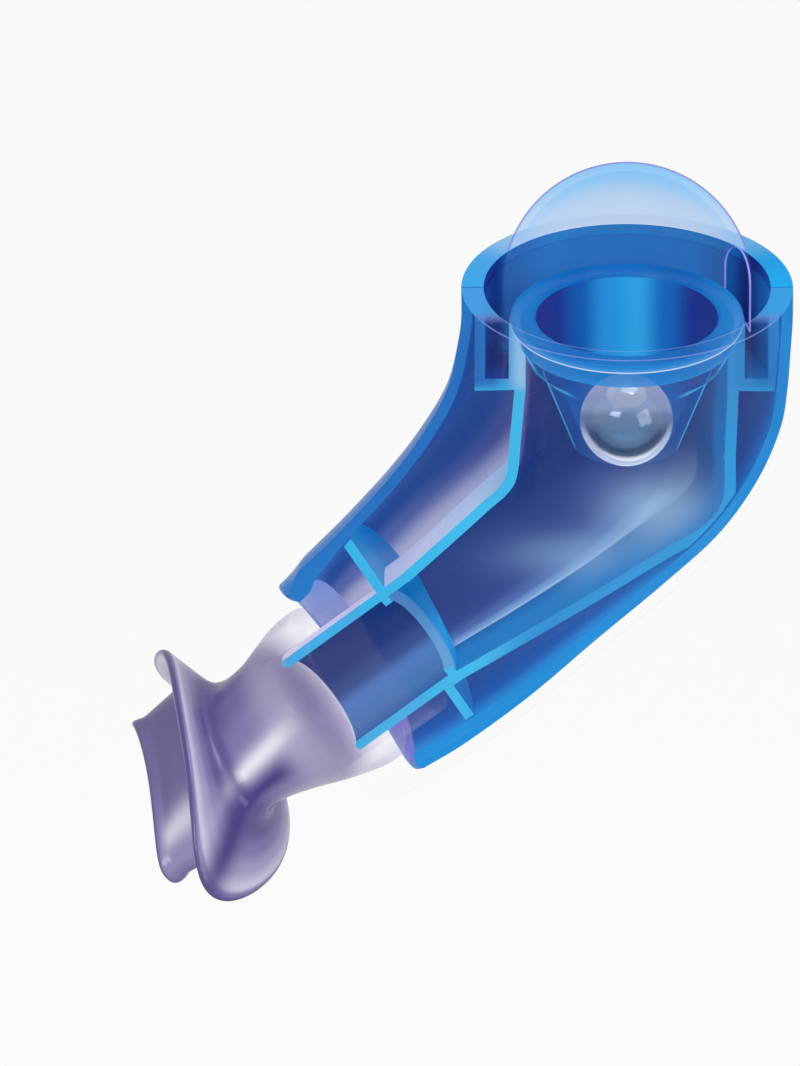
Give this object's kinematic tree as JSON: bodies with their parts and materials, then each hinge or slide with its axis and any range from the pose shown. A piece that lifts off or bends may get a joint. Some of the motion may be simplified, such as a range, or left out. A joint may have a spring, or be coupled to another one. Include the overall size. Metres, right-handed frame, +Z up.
{
  "type": "oscillating positive expiratory pressure device",
  "caption": "Hand-held breathing therapy device: a bent double-walled body, a steel ball in a conical seat, a clear vented dome and a lip-shield mouthpiece.",
  "frame": {"origin": "centre of the rim plane, on the head axis", "axes": "+Z up the head axis toward the dome, XZ the median plane with the mouthpiece toward -X, +Y the rear half"},
  "size_m": [0.1142, 0.0679, 0.1266],
  "materials": {
    "shell_blue": "glossy blue moulding",
    "shell_clear": "near half, clear so that the inside shows",
    "airway_blue": "glossy cyan blue moulding",
    "airway_clear": "near half, clear so that the inside shows",
    "seat_blue": "glossy blue moulding, slightly translucent",
    "steel": "polished steel",
    "clear_dome": "clear, faintly blue moulding",
    "lavender": "translucent lavender moulding"
  },
  "bodies": {
    "body": {"shell_rear": "shell_blue", "shell_front": "shell_clear", "airway_rear": "airway_blue", "airway_front": "airway_clear", "ball_cone": "seat_blue"},
    "ball": {"steel_ball": "steel"},
    "dome": {"cap": "clear_dome"},
    "mouth": {"mouthpiece": "lavender"}
  },
  "joints": [
    {"name": "ball_lift", "type": "slide", "parent": "body", "child": "ball", "axis": [0, 0, 1], "range_m": [0, 0.037]},
    {"name": "cap_lift", "type": "slide", "parent": "body", "child": "dome", "axis": [0, 0, 1], "range_m": [0, 0.03]},
    {"name": "mouthpiece_turn", "type": "hinge", "parent": "body", "child": "mouth", "pos_m": [-0.05295, 0, -0.0813], "axis": [0.7771, 0, 0.6293], "continuous": true}
  ]
}
